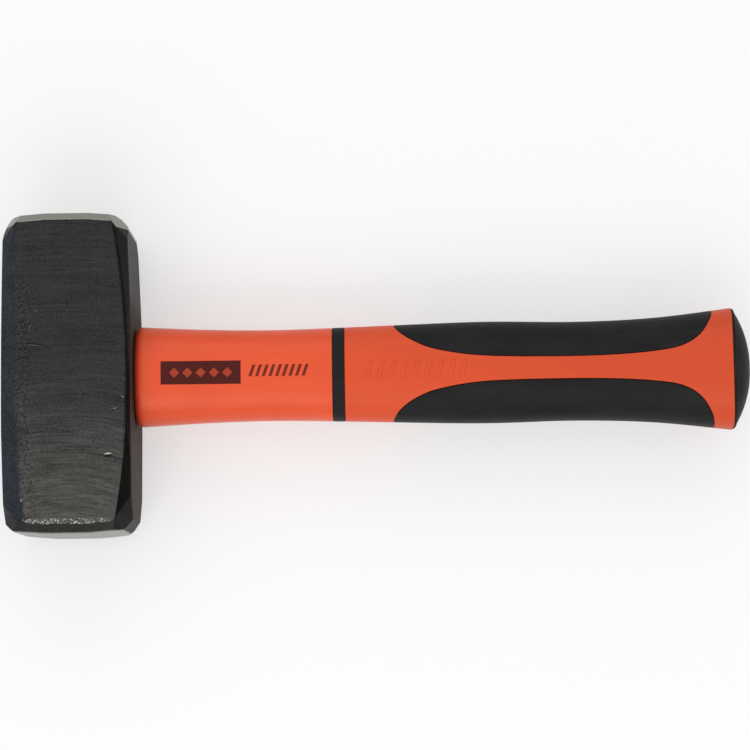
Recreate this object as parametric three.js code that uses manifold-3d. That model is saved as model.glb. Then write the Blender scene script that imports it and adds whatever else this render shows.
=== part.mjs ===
// A lump hammer: a forged steel head on a fibreglass rod, with a moulded handle around the rod.
// Millimetres. The hammer lies on one cheek of its head. +X runs along the handle from the head
// to the butt, +Y along the head from one striking face to the other, and +Z up from the cheek
// that it lies on. The origin is the centre of that cheek, so the handle's axis is half the
// head's depth above it.

import * as THREE from "three";
import { mergeVertices } from "three/addons/utils/BufferGeometryUtils.js";
import Module from "manifold-3d";

const wasm = await Module();
wasm.setup();

// The whole hammer.
const TOTAL_LENGTH = 259.3;
const GAP = 0.3; // left between pieces that touch

// The head.
const HEAD_LENGTH = 110.5; // between the striking faces
const HEAD_WIDTH = 44.6; // along the handle
const HEAD_DEPTH = 44.6; // between the cheeks
const FACET_ROWS = 10;
// The long edges' facets: each one's width on the cheek at mid-length and at the two striking faces.
const HANDLE_SIDE_FACET = { middle: 1.1, plusY: 6.4, minusY: 6.4 };
const FAR_SIDE_FACET = { middle: 4.8, plusY: 5.1, minusY: 8.2 };
const FACET_ON_SIDE = { middle: 2.2, end: 6 }; // their width on the sides
// The chamfers between the striking faces and the cheeks: leg along Y and leg along Z.
const PLUS_Y_CHAMFER = { y: 2.3, z: 2.7 };
const MINUS_Y_CHAMFER = { y: 3.5, z: 3.3 };
// The head's corners in plan.
const FAR_CORNER_RADIUS = 8.6;
const HANDLE_CORNER_RADIUS = 9.4;
const HANDLE_CORNER_CUT = { x: 5.2, y: 5.2 };
const FAR_CORNER_CUT = { x: 5.2, y: 4.4 };
const LEAN = { from: 16, by: 1.2 }; // the handle's side runs in a little towards +Y

// The eye through the head, and what fills it.
const EYE_WAIST = { y: 13.5, z: 9.5 }; // half sizes at the middle
const EYE_FLARE = 1.5; // how much each half size grows by at the mouths
const ROD = { y: 11, z: 7.5 }; // half sizes
const ROD_RECESS = 0.5; // below the head's far side
const ROD_END = 222;
const SEAL_LENGTH = 7.5;

// The handle: half widths across it, at distances from the head's centre.
const HANDLE_WIDTHS = [
  [22.5, 17.6],
  [46, 16.4],
  [70, 15.9],
  [97, 16.5],
  [142, 17.75],
  [176, 17.3],
  [204, 18.35],
  [232, 21.5],
];
const HANDLE_FLATNESS = 0.78; // thickness over width
const SECTION_POWER = 2.4; // 2 is an ellipse, and more is squarer
const SIDES = 28;
const RING_STEP = 9;
const FRONT_FILLET = 2.6;
const BAND_START = 90.9;
const BAND_END = 95.4;
const NECK = { y: 12.6, z: 9.3 }; // half sizes of the sleeve's rear part, under the grip
const NECK_END = 226;

// The grip.
const GRIP_END = 230.4;
const PAD_DEPTH = 2;
const STRIPE = [
  [111.3, 18.2],
  [114.3, 13.8],
  [119.8, 10],
  [127.7, 7],
  [143.5, 4.6],
  [169, 4],
  [188.6, 4.3],
  [203.3, 5.4],
  [212, 7.1],
  [218, 10.7],
  [222, 16.2],
  [224.8, 23],
]; // the orange stripe between the pads: distance from the head's centre, half width
const CAP_RADIUS = 39; // the dome's, seen across the handle
const CAP_RIM = 21.1;
const CAP_RINGS = 6;
const SPIGOT = { y: 8, z: 5 }; // half sizes of the cap's peg

const half = HEAD_WIDTH / 2;
const buttEnd = TOTAL_LENGTH - half;

const handleCurve = new THREE.SplineCurve(HANDLE_WIDTHS.map(([x, y]) => new THREE.Vector2(x, y)));
const handlePoints = handleCurve.getPoints(200);

function handleWidth(x) {
  const next = handlePoints.findIndex((point) => point.x >= x);
  const b = handlePoints[Math.max(next, 1)];
  const a = handlePoints[Math.max(next, 1) - 1];
  return THREE.MathUtils.mapLinear(x, a.x, b.x, a.y, b.y);
}

// ---- Solids ----

function toSolid(geometry) {
  const bare = geometry.clone();
  bare.deleteAttribute("normal");
  bare.deleteAttribute("uv");
  const merged = mergeVertices(bare, 1e-4);
  const index = merged.getIndex().array;
  const corners = [];
  for (let i = 0; i < index.length; i += 3) {
    const [a, b, c] = index.slice(i, i + 3);
    if (a !== b && b !== c && c !== a) corners.push(a, b, c);
  }
  const mesh = new wasm.Mesh({
    numProp: 3,
    vertProperties: merged.getAttribute("position").array,
    triVerts: Uint32Array.from(corners),
  });
  return new wasm.Manifold(mesh);
}

function toGeometry(solid) {
  const mesh = solid.getMesh();
  const geometry = new THREE.BufferGeometry();
  geometry.setAttribute("position", new THREE.BufferAttribute(mesh.vertProperties, 3));
  geometry.setIndex(new THREE.BufferAttribute(mesh.triVerts, 1));
  geometry.computeVertexNormals();
  return geometry;
}

function towardsSquare(value) {
  return Math.sign(value) * Math.abs(value) ** (2 / SECTION_POWER);
}

// A closed bar along X with an oval section at each ring. A ring is { x, y, z }, with y and z its half sizes.
function ovalBar(rings) {
  const first = rings[0];
  const last = rings[rings.length - 1];
  const closed = [{ x: first.x, y: 0, z: 0 }, ...rings, { x: last.x, y: 0, z: 0 }];
  const profile = closed.map((ring) => new THREE.Vector2(ring.y, ring.x));
  const bar = new THREE.LatheGeometry(profile, SIDES);
  const position = bar.getAttribute("position");
  for (let i = 0; i < position.count; i += 1) {
    const ring = closed[i % closed.length];
    const turn = (Math.floor(i / closed.length) % SIDES) * ((2 * Math.PI) / SIDES);
    const y = ring.y * towardsSquare(Math.cos(turn));
    const z = ring.z * towardsSquare(Math.sin(turn));
    position.setXYZ(i, ring.x, y, z);
  }
  return toSolid(bar);
}

function straightBar(from, to, size, margin = 0) {
  const section = { y: size.y + margin, z: size.z + margin };
  return ovalBar([
    { x: from, ...section },
    { x: to, ...section },
  ]);
}

// Rings of the handle's outer form between two distances, with margin added to each half size.
function handleRings(from, to, margin = 0) {
  const count = Math.ceil((to - from) / RING_STEP);
  const rings = [];
  for (let i = 0; i <= count; i += 1) {
    const x = THREE.MathUtils.lerp(from, to, i / count);
    const width = handleWidth(x);
    rings.push({ x, y: width + margin, z: width * HANDLE_FLATNESS + margin });
  }
  return rings;
}

// ---- Head ----

function facetWidth(facet, y) {
  const widening = (y / (HEAD_LENGTH / 2)) ** 2;
  return THREE.MathUtils.lerp(facet.middle, y > 0 ? facet.plusY : facet.minusY, widening);
}

// An eight-sided bar along Y whose corner facets widen towards both ends.
function facetedBar() {
  const bar = new THREE.CylinderGeometry(1, 1, HEAD_LENGTH, 8, FACET_ROWS, false, Math.PI / 8);
  const position = bar.getAttribute("position");
  for (let i = 0; i < position.count; i += 1) {
    const x = position.getX(i);
    const y = position.getY(i);
    const z = position.getZ(i);
    const widening = (y / (HEAD_LENGTH / 2)) ** 2;
    const legX = facetWidth(x > 0 ? HANDLE_SIDE_FACET : FAR_SIDE_FACET, y);
    const legZ = THREE.MathUtils.lerp(FACET_ON_SIDE.middle, FACET_ON_SIDE.end, widening);
    const onCentre = Math.hypot(x, z) < 0.5;
    const onSide = Math.abs(x) > Math.abs(z);
    if (!onCentre) {
      const edgeX = onSide ? half : half - legX;
      const edgeZ = onSide ? HEAD_DEPTH / 2 - legZ : HEAD_DEPTH / 2;
      position.setXYZ(i, Math.sign(x) * edgeX, y, Math.sign(z) * edgeZ);
    }
  }
  return toSolid(bar);
}

function planOutline() {
  const end = HEAD_LENGTH / 2;
  const outline = new THREE.Shape();
  const farCentre = { x: -half + FAR_CORNER_RADIUS, y: end - FAR_CORNER_RADIUS };
  const handleCentre = { x: half - LEAN.by - HANDLE_CORNER_RADIUS, y: end - HANDLE_CORNER_RADIUS };
  outline.moveTo(-half, -end + FAR_CORNER_CUT.y);
  outline.lineTo(-half, farCentre.y);
  outline.absarc(farCentre.x, farCentre.y, FAR_CORNER_RADIUS, Math.PI, Math.PI / 2, true);
  outline.lineTo(handleCentre.x, end);
  outline.absarc(handleCentre.x, handleCentre.y, HANDLE_CORNER_RADIUS, Math.PI / 2, 0, true);
  outline.lineTo(half, LEAN.from);
  outline.lineTo(half, -end + HANDLE_CORNER_CUT.y);
  outline.lineTo(half - HANDLE_CORNER_CUT.x, -end);
  outline.lineTo(-half + FAR_CORNER_CUT.x, -end);
  outline.closePath();
  return outline;
}

function planPlate() {
  const plate = new THREE.ExtrudeGeometry(planOutline(), {
    depth: HEAD_DEPTH,
    bevelEnabled: false,
    curveSegments: 5,
  });
  plate.translate(0, 0, -HEAD_DEPTH / 2);
  return toSolid(plate);
}

// The head's outline seen along the handle, with the chamfers at the striking faces.
function sidePlate() {
  const end = HEAD_LENGTH / 2;
  const cheek = HEAD_DEPTH / 2;
  const corners = [
    [end, cheek - PLUS_Y_CHAMFER.z],
    [end - PLUS_Y_CHAMFER.y, cheek],
    [-end + MINUS_Y_CHAMFER.y, cheek],
    [-end, cheek - MINUS_Y_CHAMFER.z],
    [-end, -cheek + MINUS_Y_CHAMFER.z],
    [-end + MINUS_Y_CHAMFER.y, -cheek],
    [end - PLUS_Y_CHAMFER.y, -cheek],
    [end, -cheek + PLUS_Y_CHAMFER.z],
  ];
  const outline = new THREE.Shape(corners.map(([y, z]) => new THREE.Vector2(y, z)));
  const plate = new THREE.ExtrudeGeometry(outline, { depth: HEAD_WIDTH, bevelEnabled: false });
  // The outline's X and Y become Y and Z, and its depth becomes X.
  plate.applyMatrix4(new THREE.Matrix4().set(0, 0, 1, -half, 1, 0, 0, 0, 0, 1, 0, 0, 0, 0, 0, 1));
  return toSolid(plate);
}

// The eye is narrowest in the middle, so that the resin in it can't be pulled out either way.
function eyeBar(from, to, margin = 0) {
  const count = 6;
  const rings = [];
  for (let i = 0; i <= count; i += 1) {
    const x = THREE.MathUtils.lerp(from, to, i / count);
    const flare = EYE_FLARE * (x / half) ** 2 + margin;
    rings.push({ x, y: EYE_WAIST.y + flare, z: EYE_WAIST.z + flare });
  }
  return ovalBar(rings);
}

function makeHead() {
  const block = facetedBar().intersect(planPlate()).intersect(sidePlate());
  return block.subtract(eyeBar(-half - 1, half + 1));
}

// ---- Inside the eye ----

function makeRod() {
  return straightBar(-half + ROD_RECESS, ROD_END, ROD);
}

function makeEyeFilling(from, to) {
  const hole = straightBar(from - 1, to + 1, ROD, GAP);
  return eyeBar(from, to, -GAP).subtract(hole);
}

// ---- Handle ----

// The rings of the rounded front edge, and then of the bare part of the sleeve.
function sleeveFrontRings() {
  const start = half + GAP;
  const rounded = [0, 30, 60].map((degrees) => {
    const turn = THREE.MathUtils.degToRad(degrees);
    const inset = FRONT_FILLET * (1 - Math.sin(turn));
    const x = start + FRONT_FILLET * (1 - Math.cos(turn));
    return { x, y: handleWidth(x) - inset, z: handleWidth(x) * HANDLE_FLATNESS - inset };
  });
  return [...rounded, ...handleRings(start + FRONT_FILLET, BAND_START - GAP / 2)];
}

function makeSleeve() {
  const neck = [
    { x: BAND_START - GAP / 2, ...NECK },
    { x: NECK_END, ...NECK },
  ];
  const body = ovalBar([...sleeveFrontRings(), ...neck]);
  return body.subtract(straightBar(half - 1, ROD_END + GAP, ROD, GAP));
}

function makeBand() {
  const ring = ovalBar(handleRings(BAND_START + GAP / 2, BAND_END - GAP / 2));
  return ring.subtract(straightBar(BAND_START - 1, BAND_END + 1, NECK, GAP));
}

// A block that covers the whole of one pad in plan, with its inner edge moved in by margin.
function padBlock(side, margin) {
  const reach = 40;
  const stripe = new THREE.SplineCurve(STRIPE.map(([x, y]) => new THREE.Vector2(x, y)));
  const edge = stripe.getPoints(33);
  const moved = edge.map((point, i) => {
    const along = stripe.getTangent(i / 33);
    return new THREE.Vector2(point.x + along.y * margin, point.y - along.x * margin);
  });
  const last = moved[moved.length - 1];
  const outline = new THREE.Shape([
    ...moved,
    new THREE.Vector2(last.x, reach),
    new THREE.Vector2(moved[0].x, reach),
  ]);
  const block = new THREE.ExtrudeGeometry(outline, { depth: 2 * reach, bevelEnabled: false });
  block.translate(0, 0, -reach);
  if (side < 0) block.rotateX(Math.PI);
  return toSolid(block);
}

function gripForm(margin) {
  return ovalBar(handleRings(BAND_END + GAP / 2, GRIP_END, margin));
}

function makePad(side) {
  return gripForm(0).intersect(padBlock(side, 0)).subtract(gripForm(-PAD_DEPTH));
}

function padPocket(side) {
  return gripForm(1).intersect(padBlock(side, GAP)).subtract(gripForm(-PAD_DEPTH - GAP));
}

function makeGripShell() {
  const bore = straightBar(BAND_END - 1, NECK_END + GAP, NECK, GAP);
  const pegHole = straightBar(NECK_END - 1, GRIP_END + 1, SPIGOT, GAP);
  return gripForm(0).subtract(bore).subtract(pegHole).subtract(padPocket(1)).subtract(padPocket(-1));
}

function makeButtCap() {
  const base = GRIP_END + GAP;
  const rings = [{ x: base, y: CAP_RIM, z: CAP_RIM * HANDLE_FLATNESS }];
  for (let i = 0; i <= CAP_RINGS; i += 1) {
    const y = (CAP_RIM - GAP) * Math.cos((i / CAP_RINGS) * (Math.PI / 2));
    const x = buttEnd - CAP_RADIUS + Math.sqrt(CAP_RADIUS ** 2 - y ** 2);
    rings.push({ x, y, z: y * HANDLE_FLATNESS });
  }
  const peg = straightBar(NECK_END + 2 * GAP, base + 1, SPIGOT);
  return ovalBar(rings).add(peg);
}

// ---- Materials ----

function paint(color, roughness, metalness) {
  return new THREE.MeshStandardMaterial({ color, roughness, metalness });
}

const steel = paint(0x3a3a3a, 0.5, 0.7);
const glassFibre = paint(0xcfc39a, 0.45, 0);
const resin = paint(0x2b2622, 0.35, 0);
const hardOrange = paint(0xdd5a3e, 0.35, 0);
const gripOrange = paint(0xd4573b, 0.55, 0);
const softBlack = paint(0x29292b, 0.75, 0);

// ---- Assembly ----

const pieces = [
  ["head", makeHead(), steel],
  ["core_rod", makeRod(), glassFibre],
  ["eye_resin", makeEyeFilling(-half + ROD_RECESS, half - SEAL_LENGTH - GAP), resin],
  ["eye_seal", makeEyeFilling(half - SEAL_LENGTH, half - GAP), softBlack],
  ["handle_sleeve", makeSleeve(), hardOrange],
  ["divider_band", makeBand(), softBlack],
  ["grip_shell", makeGripShell(), gripOrange],
  ["grip_pad_a", makePad(1), softBlack],
  ["grip_pad_b", makePad(-1), softBlack],
  ["butt_cap", makeButtCap(), softBlack],
];

const hammer = new THREE.Group();
hammer.position.z = HEAD_DEPTH / 2;
for (const [name, solid, material] of pieces) {
  const mesh = new THREE.Mesh(toGeometry(solid), material);
  mesh.name = name;
  hammer.add(mesh);
}

const assembly = new THREE.Group();
assembly.add(hammer);

export default assembly;
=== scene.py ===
import math

import bpy
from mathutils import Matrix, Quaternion, Vector


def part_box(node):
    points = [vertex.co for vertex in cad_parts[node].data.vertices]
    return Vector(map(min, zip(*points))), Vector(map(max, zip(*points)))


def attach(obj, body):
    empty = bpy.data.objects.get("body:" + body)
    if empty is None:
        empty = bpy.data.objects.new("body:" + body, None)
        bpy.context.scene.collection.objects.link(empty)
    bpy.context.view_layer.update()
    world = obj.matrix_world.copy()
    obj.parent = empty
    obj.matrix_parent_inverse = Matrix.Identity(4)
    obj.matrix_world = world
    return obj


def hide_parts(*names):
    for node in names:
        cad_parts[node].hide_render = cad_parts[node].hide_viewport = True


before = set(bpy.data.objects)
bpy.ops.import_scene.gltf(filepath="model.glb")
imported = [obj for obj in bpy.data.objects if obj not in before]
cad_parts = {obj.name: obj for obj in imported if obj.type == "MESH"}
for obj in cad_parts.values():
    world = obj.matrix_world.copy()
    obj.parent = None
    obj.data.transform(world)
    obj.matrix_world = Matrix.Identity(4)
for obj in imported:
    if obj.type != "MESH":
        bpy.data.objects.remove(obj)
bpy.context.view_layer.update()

bl_info = {
    "name": "Lump hammer",
    "version": (1, 0, 0),
    "blender": (4, 5, 0),
    "location": "3D View > Sidebar > Hammer",
    "description": "Models a lump hammer round its packed frame, piece by piece",
    "category": "Object",
}

# ---- Places, taken from the frame ----

MM = 0.001
HEAD_LOW, HEAD_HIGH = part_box("head")
BAND_LOW, BAND_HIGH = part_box("divider_band")
SHELL_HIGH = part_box("grip_shell")[1]
CAP_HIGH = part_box("butt_cap")[1]
ROD_LOW, ROD_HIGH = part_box("core_rod")
RESIN_LOW, RESIN_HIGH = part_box("eye_resin")

HEAD_SIZE = HEAD_HIGH - HEAD_LOW
HEAD_MIDDLE = (HEAD_LOW + HEAD_HIGH) / 2
AXIS_Z = HEAD_MIDDLE.z  # the height of the handle's axis
ON_AXIS = (0, 0, AXIS_Z)
ROD_HALF = tuple((ROD_HIGH - ROD_LOW) / 2)[1:]
SEAM = 0.06 * MM  # the clearance that shows between pieces that touch

# ---- The handle's outer form ----

# Half widths across the handle at distances from the head's middle, in millimetres.
HANDLE_WIDTHS = [
    *((22.5, 17.6), (46, 16.4), (70, 15.9), (97, 16.5)),
    *((142, 17.75), (176, 17.3), (204, 18.35), (232, 21.5)),
]
# Half widths of the orange stripe between the pads, at distances from the head's middle.
STRIPE_WIDTHS = [
    *((111.3, 18.2), (114.3, 13.8), (119.8, 10), (127.7, 7), (143.5, 4.6), (169, 4)),
    *((188.6, 4.3), (203.3, 5.4), (212, 7.1), (218, 10.7), (222, 16.2), (224.8, 23)),
]
HANDLE_FLATNESS = 0.78  # thickness over width
SECTION_POWER = 2.4  # 2 is an ellipse, and more is squarer
NECK_HALF = (12.6 * MM, 9.3 * MM)  # the sleeve's rear part, under the grip
NECK_END = 226 * MM
CURVE_STEPS = 24  # between two of the points above
TIP_SEARCH = 0.05 * MM  # step of the search for the pads' tips
PARTING_BOW = 1.2 * MM  # how far the butt cap's parting line runs forward on the flats


def spline_point(points, segment, t):
    """A point on the smooth curve through the points, t of the way along one segment."""
    last = len(points) - 1
    p0 = points[max(segment - 1, 0)]
    p1 = points[segment]
    p2 = points[min(segment + 1, last)]
    p3 = points[min(segment + 2, last)]
    found = []
    for a, b, c, d in zip(p0, p1, p2, p3):
        slope_in = (c - a) / 2
        slope_out = (d - b) / 2
        cubic = (2 * b - 2 * c + slope_in + slope_out) * t**3
        square = (-3 * b + 3 * c - 2 * slope_in - slope_out) * t**2
        found.append(cubic + square + slope_in * t + b)
    return found


def sampled(points):
    """The smooth curve through the points as many short steps, in metres."""
    steps = [
        spline_point(points, segment, i / CURVE_STEPS)
        for segment in range(len(points) - 1)
        for i in range(CURVE_STEPS)
    ]
    return [(x * MM, y * MM) for x, y in [*steps, points[-1]]]


HANDLE_CURVE = sampled(HANDLE_WIDTHS)
STRIPE_CURVE = sampled(STRIPE_WIDTHS)


def read_curve(curve, x):
    """The curve's value at x, held at its ends."""
    if x <= curve[0][0]:
        return curve[0][1]
    for (x0, y0), (x1, y1) in zip(curve, curve[1:]):
        if x <= x1:
            return y0 + (y1 - y0) * (x - x0) / (x1 - x0)
    return curve[-1][1]


def grown(half, by):
    """Half sizes that are larger, or smaller where by is below 0."""
    return tuple(part + by for part in half)


def handle_half(x, inset=0.0):
    """The handle's half width and half thickness at x."""
    width = read_curve(HANDLE_CURVE, x)
    return width - inset, width * HANDLE_FLATNESS - inset


def towards_square(value):
    """The sine or cosine of a turn, moved so that a circle becomes the handle's squarer section."""
    return math.copysign(abs(value) ** (2 / SECTION_POWER), value)


def form_point(x, turn, inset=0.0):
    """A point on the handle's outer form. A turn of 0 is on the +Y side and a quarter turn on top."""
    width, thickness = handle_half(x, inset)
    y = width * towards_square(math.cos(turn))
    z = AXIS_Z + thickness * towards_square(math.sin(turn))
    return Vector((x, y, z))


def stripe_turn(x, margin=0.0):
    """The turn at which the stripe's edge stands at x, or 0 where the stripe goes all round."""
    ratio = (read_curve(STRIPE_CURVE, x) + margin) / read_curve(HANDLE_CURVE, x)
    return math.acos(min(1.0, ratio ** (SECTION_POWER / 2)))


def pad_tips(margin):
    """The first and last x at which the pads have any width."""
    wide = [x for x, _ in STRIPE_CURVE if stripe_turn(x, margin) > 0]
    first, last = wide[0], wide[-1]
    while stripe_turn(first - TIP_SEARCH, margin) > 0:
        first -= TIP_SEARCH
    while stripe_turn(last + TIP_SEARCH, margin) > 0:
        last += TIP_SEARCH
    return first, last


# ---- Settings a user can change ----


def length(name, description, millimetres):
    """A length that a user can set."""
    return bpy.props.FloatProperty(
        name=name,
        description=description,
        default=millimetres * MM,
        subtype="DISTANCE",
        unit="LENGTH",
    )


def colour(name, description, shade):
    """A colour that a user can set."""
    return bpy.props.FloatVectorProperty(
        name=name, description=description, default=shade, size=3, subtype="COLOR"
    )


class HammerSizes(bpy.types.PropertyGroup):
    facet_middle: length(
        "Facet at the middle", "Width on the cheek of the handle side's facets, at the eye", 1.1
    )
    facet_end: length(
        "Facet at the ends", "Width on the cheek of the handle side's facets, at the striking faces", 6.4
    )
    far_facet: length("Far facet", "Width on the cheek of the facets on the side away from the handle", 5.2)
    bright_chamfer: length(
        "Bright chamfer", "Chamfer between the +Y striking face and the flats round it", 2.5
    )
    dark_chamfer: length("Dark chamfer", "Chamfer between the -Y striking face and the flats round it", 3.5)
    sleeve_fillet: length("Sleeve fillet", "Rounding of the sleeve where it meets the head", 2.6)
    pad_thickness: length("Pad thickness", "Depth of the soft pads let into the grip", 1.9)
    pad_groove: length("Pad groove", "Half the width of the groove round each pad", 0.09)
    rib_height: length("Rib height", "How far the raised ribs on the grip stand out", 0.22)


class HammerColours(bpy.types.PropertyGroup):
    head_black: colour("Head black", "Colour of the black finish on the forging", (0.0095, 0.0095, 0.0098))
    ground_steel: colour("Ground steel", "Colour of the bare ground steel", (0.30, 0.30, 0.274))
    sleeve_orange: colour("Sleeve orange", "Colour of the hard plastic sleeve", (0.785, 0.095, 0.0315))
    grip_orange: colour("Grip orange", "Colour of the grip moulding", (0.71, 0.082, 0.025))
    soft_black: colour(
        "Soft black", "Colour of the soft pads, the band and the butt cap", (0.0095, 0.0095, 0.0098)
    )
    print_ink: colour(
        "Print ink", "Colour of the printed panel and bars on the sleeve", (0.066, 0.0045, 0.0025)
    )


# ---- Modelling steps that several pieces share ----


def edit_mode():
    bpy.ops.object.mode_set(mode="EDIT")


def object_mode():
    bpy.ops.object.mode_set(mode="OBJECT")


def select_all():
    bpy.ops.mesh.select_all(action="SELECT")


def clear_selection():
    if bpy.context.object and bpy.context.object.mode != "OBJECT":
        object_mode()
    bpy.ops.object.select_all(action="DESELECT")


def named_piece(name):
    """The primitive just added, under its piece's name."""
    piece = bpy.context.active_object
    piece.name = name
    piece.data.name = name
    return piece


def work_on(piece):
    clear_selection()
    piece.select_set(True)
    bpy.context.view_layer.objects.active = piece


def select(piece, kind, wanted):
    """Selects the faces, edges or vertices that wanted(item) is true for, and stays in edit mode."""
    edit_mode()
    bpy.ops.mesh.select_mode(type=kind)
    bpy.ops.mesh.select_all(action="DESELECT")
    object_mode()
    items = {"FACE": "polygons", "EDGE": "edges", "VERT": "vertices"}[kind]
    for item in getattr(piece.data, items):
        item.select = wanted(item)
    edit_mode()


def faces_by_edge(piece):
    """The normals of the faces on both sides of every edge."""
    sides = {}
    for face in piece.data.polygons:
        for key in face.edge_keys:
            sides.setdefault(key, []).append(face.normal.copy())
    return sides


def start_ring(name, x, half, filled, sides):
    """A ring across the handle's axis, its circle squared up to the handle's section."""
    clear_selection()
    bpy.ops.mesh.primitive_circle_add(
        vertices=sides,
        radius=half[0],
        fill_type="NGON" if filled else "NOTHING",
        location=(x, 0, AXIS_Z),
        rotation=(0, math.pi / 2, 0),
    )
    piece = named_piece(name)
    bpy.ops.object.transform_apply(location=True, rotation=True, scale=True)
    for vertex in piece.data.vertices:
        turn = math.atan2(vertex.co.z - AXIS_Z, vertex.co.y)
        y, z = (towards_square(part) for part in (math.cos(turn), math.sin(turn)))
        vertex.co = (x, half[0] * y, AXIS_Z + half[1] * z)
    edit_mode()
    select_all()
    return piece


def turned_piece(name, rings, closed_loop, sides):
    """A piece drawn out through rings of (x, (half y, half z)), closed by a face at each end.
    With closed_loop it has no end faces, and comes back to its first ring instead."""
    piece = start_ring(name, *rings[0], filled=not closed_loop, sides=sides)
    if closed_loop:
        rings = [*rings, rings[0]]
    for (x0, half0), (x1, half1) in zip(rings, rings[1:]):
        bpy.ops.mesh.extrude_region_move(TRANSFORM_OT_translate={"value": (x1 - x0, 0, 0)})
        wider, thicker = half1[0] / half0[0], half1[1] / half0[1]
        bpy.ops.transform.resize(value=(1, wider, thicker), center_override=(x1, 0, AXIS_Z))
    finish_mesh()
    return piece


def finish_mesh():
    """Merges doubles, turns the faces outwards and leaves edit mode."""
    select_all()
    bpy.ops.mesh.remove_doubles(threshold=0.002 * MM)
    bpy.ops.mesh.normals_make_consistent(inside=False)
    object_mode()


def apply_modifier(piece, kind, **settings):
    work_on(piece)
    made = piece.modifiers.new(kind.title(), kind)
    for key, value in settings.items():
        setattr(made, key, value)
    bpy.ops.object.modifier_apply(modifier=made.name)


def soften_edges(piece, width, angle, clamp=True):
    """Rounds the edges that are sharper than the angle, in degrees."""
    limit = {"limit_method": "ANGLE", "angle_limit": math.radians(angle)}
    apply_modifier(piece, "BEVEL", width=width, segments=3, use_clamp_overlap=clamp, **limit)


def cut_out(piece, cutter):
    """Takes the cutter's shape out of the piece, and removes the cutter."""
    apply_modifier(piece, "BOOLEAN", operation="DIFFERENCE", solver="EXACT", object=cutter)
    bpy.data.objects.remove(cutter, do_unlink=True)


def smooth(piece, angle):
    work_on(piece)
    bpy.ops.object.shade_smooth_by_angle(angle=math.radians(angle), keep_sharp_edges=False)


def hand_over(piece, material, slot, *nodes):
    """Gives a finished piece its material and body, and hides the CAD nodes that it stands for. The slot is
    not used.
    """
    piece.data.materials.clear()
    piece.data.materials.append(material)
    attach(piece, "root")
    if nodes:
        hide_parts(*nodes)


# ---- Shader arithmetic ----


class Signal:
    """A shader socket that takes part in ordinary arithmetic by adding Math nodes."""

    def __init__(self, recipe, socket):
        self.recipe = recipe
        self.socket = socket

    def math(self, operation, *operands):
        return self.recipe.node("Math", {"operation": operation}, dict(enumerate(operands)))

    def __add__(self, other):
        return self.math("ADD", self, other)

    def __radd__(self, other):
        return self.math("ADD", other, self)

    def __sub__(self, other):
        return self.math("SUBTRACT", self, other)

    def __rsub__(self, other):
        return self.math("SUBTRACT", other, self)

    def __mul__(self, other):
        return self.math("MULTIPLY", self, other)

    def __rmul__(self, other):
        return self.math("MULTIPLY", other, self)

    def __truediv__(self, other):
        return self.math("DIVIDE", self, other)

    def __neg__(self):
        return self.math("MULTIPLY", self, -1)

    def __abs__(self):
        return self.math("ABSOLUTE", self)

    def __pow__(self, other):
        return self.math("POWER", self, other)

    def least(self, other):
        return self.math("MINIMUM", self, other)

    def most(self, other):
        return self.math("MAXIMUM", self, other)

    def shared_out(self):
        """Noise about 0 brought to about a half."""
        return self * 0.5 + 0.5

    def repeat(self, pitch):
        """The distance to the nearest of a row of places that stand a pitch apart."""
        return self.math("PINGPONG", self + pitch * 10, pitch / 2)

    def ramp(self, low, high):
        """0 below low, 1 above high and smooth between. With high under low it falls instead."""
        if high < low:
            return 1 - self.ramp(high, low)
        settings = {"interpolation_type": "SMOOTHSTEP"}
        inputs = {"Value": self, "From Min": low, "From Max": high}
        return self.recipe.node("MapRange", settings, inputs)


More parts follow.
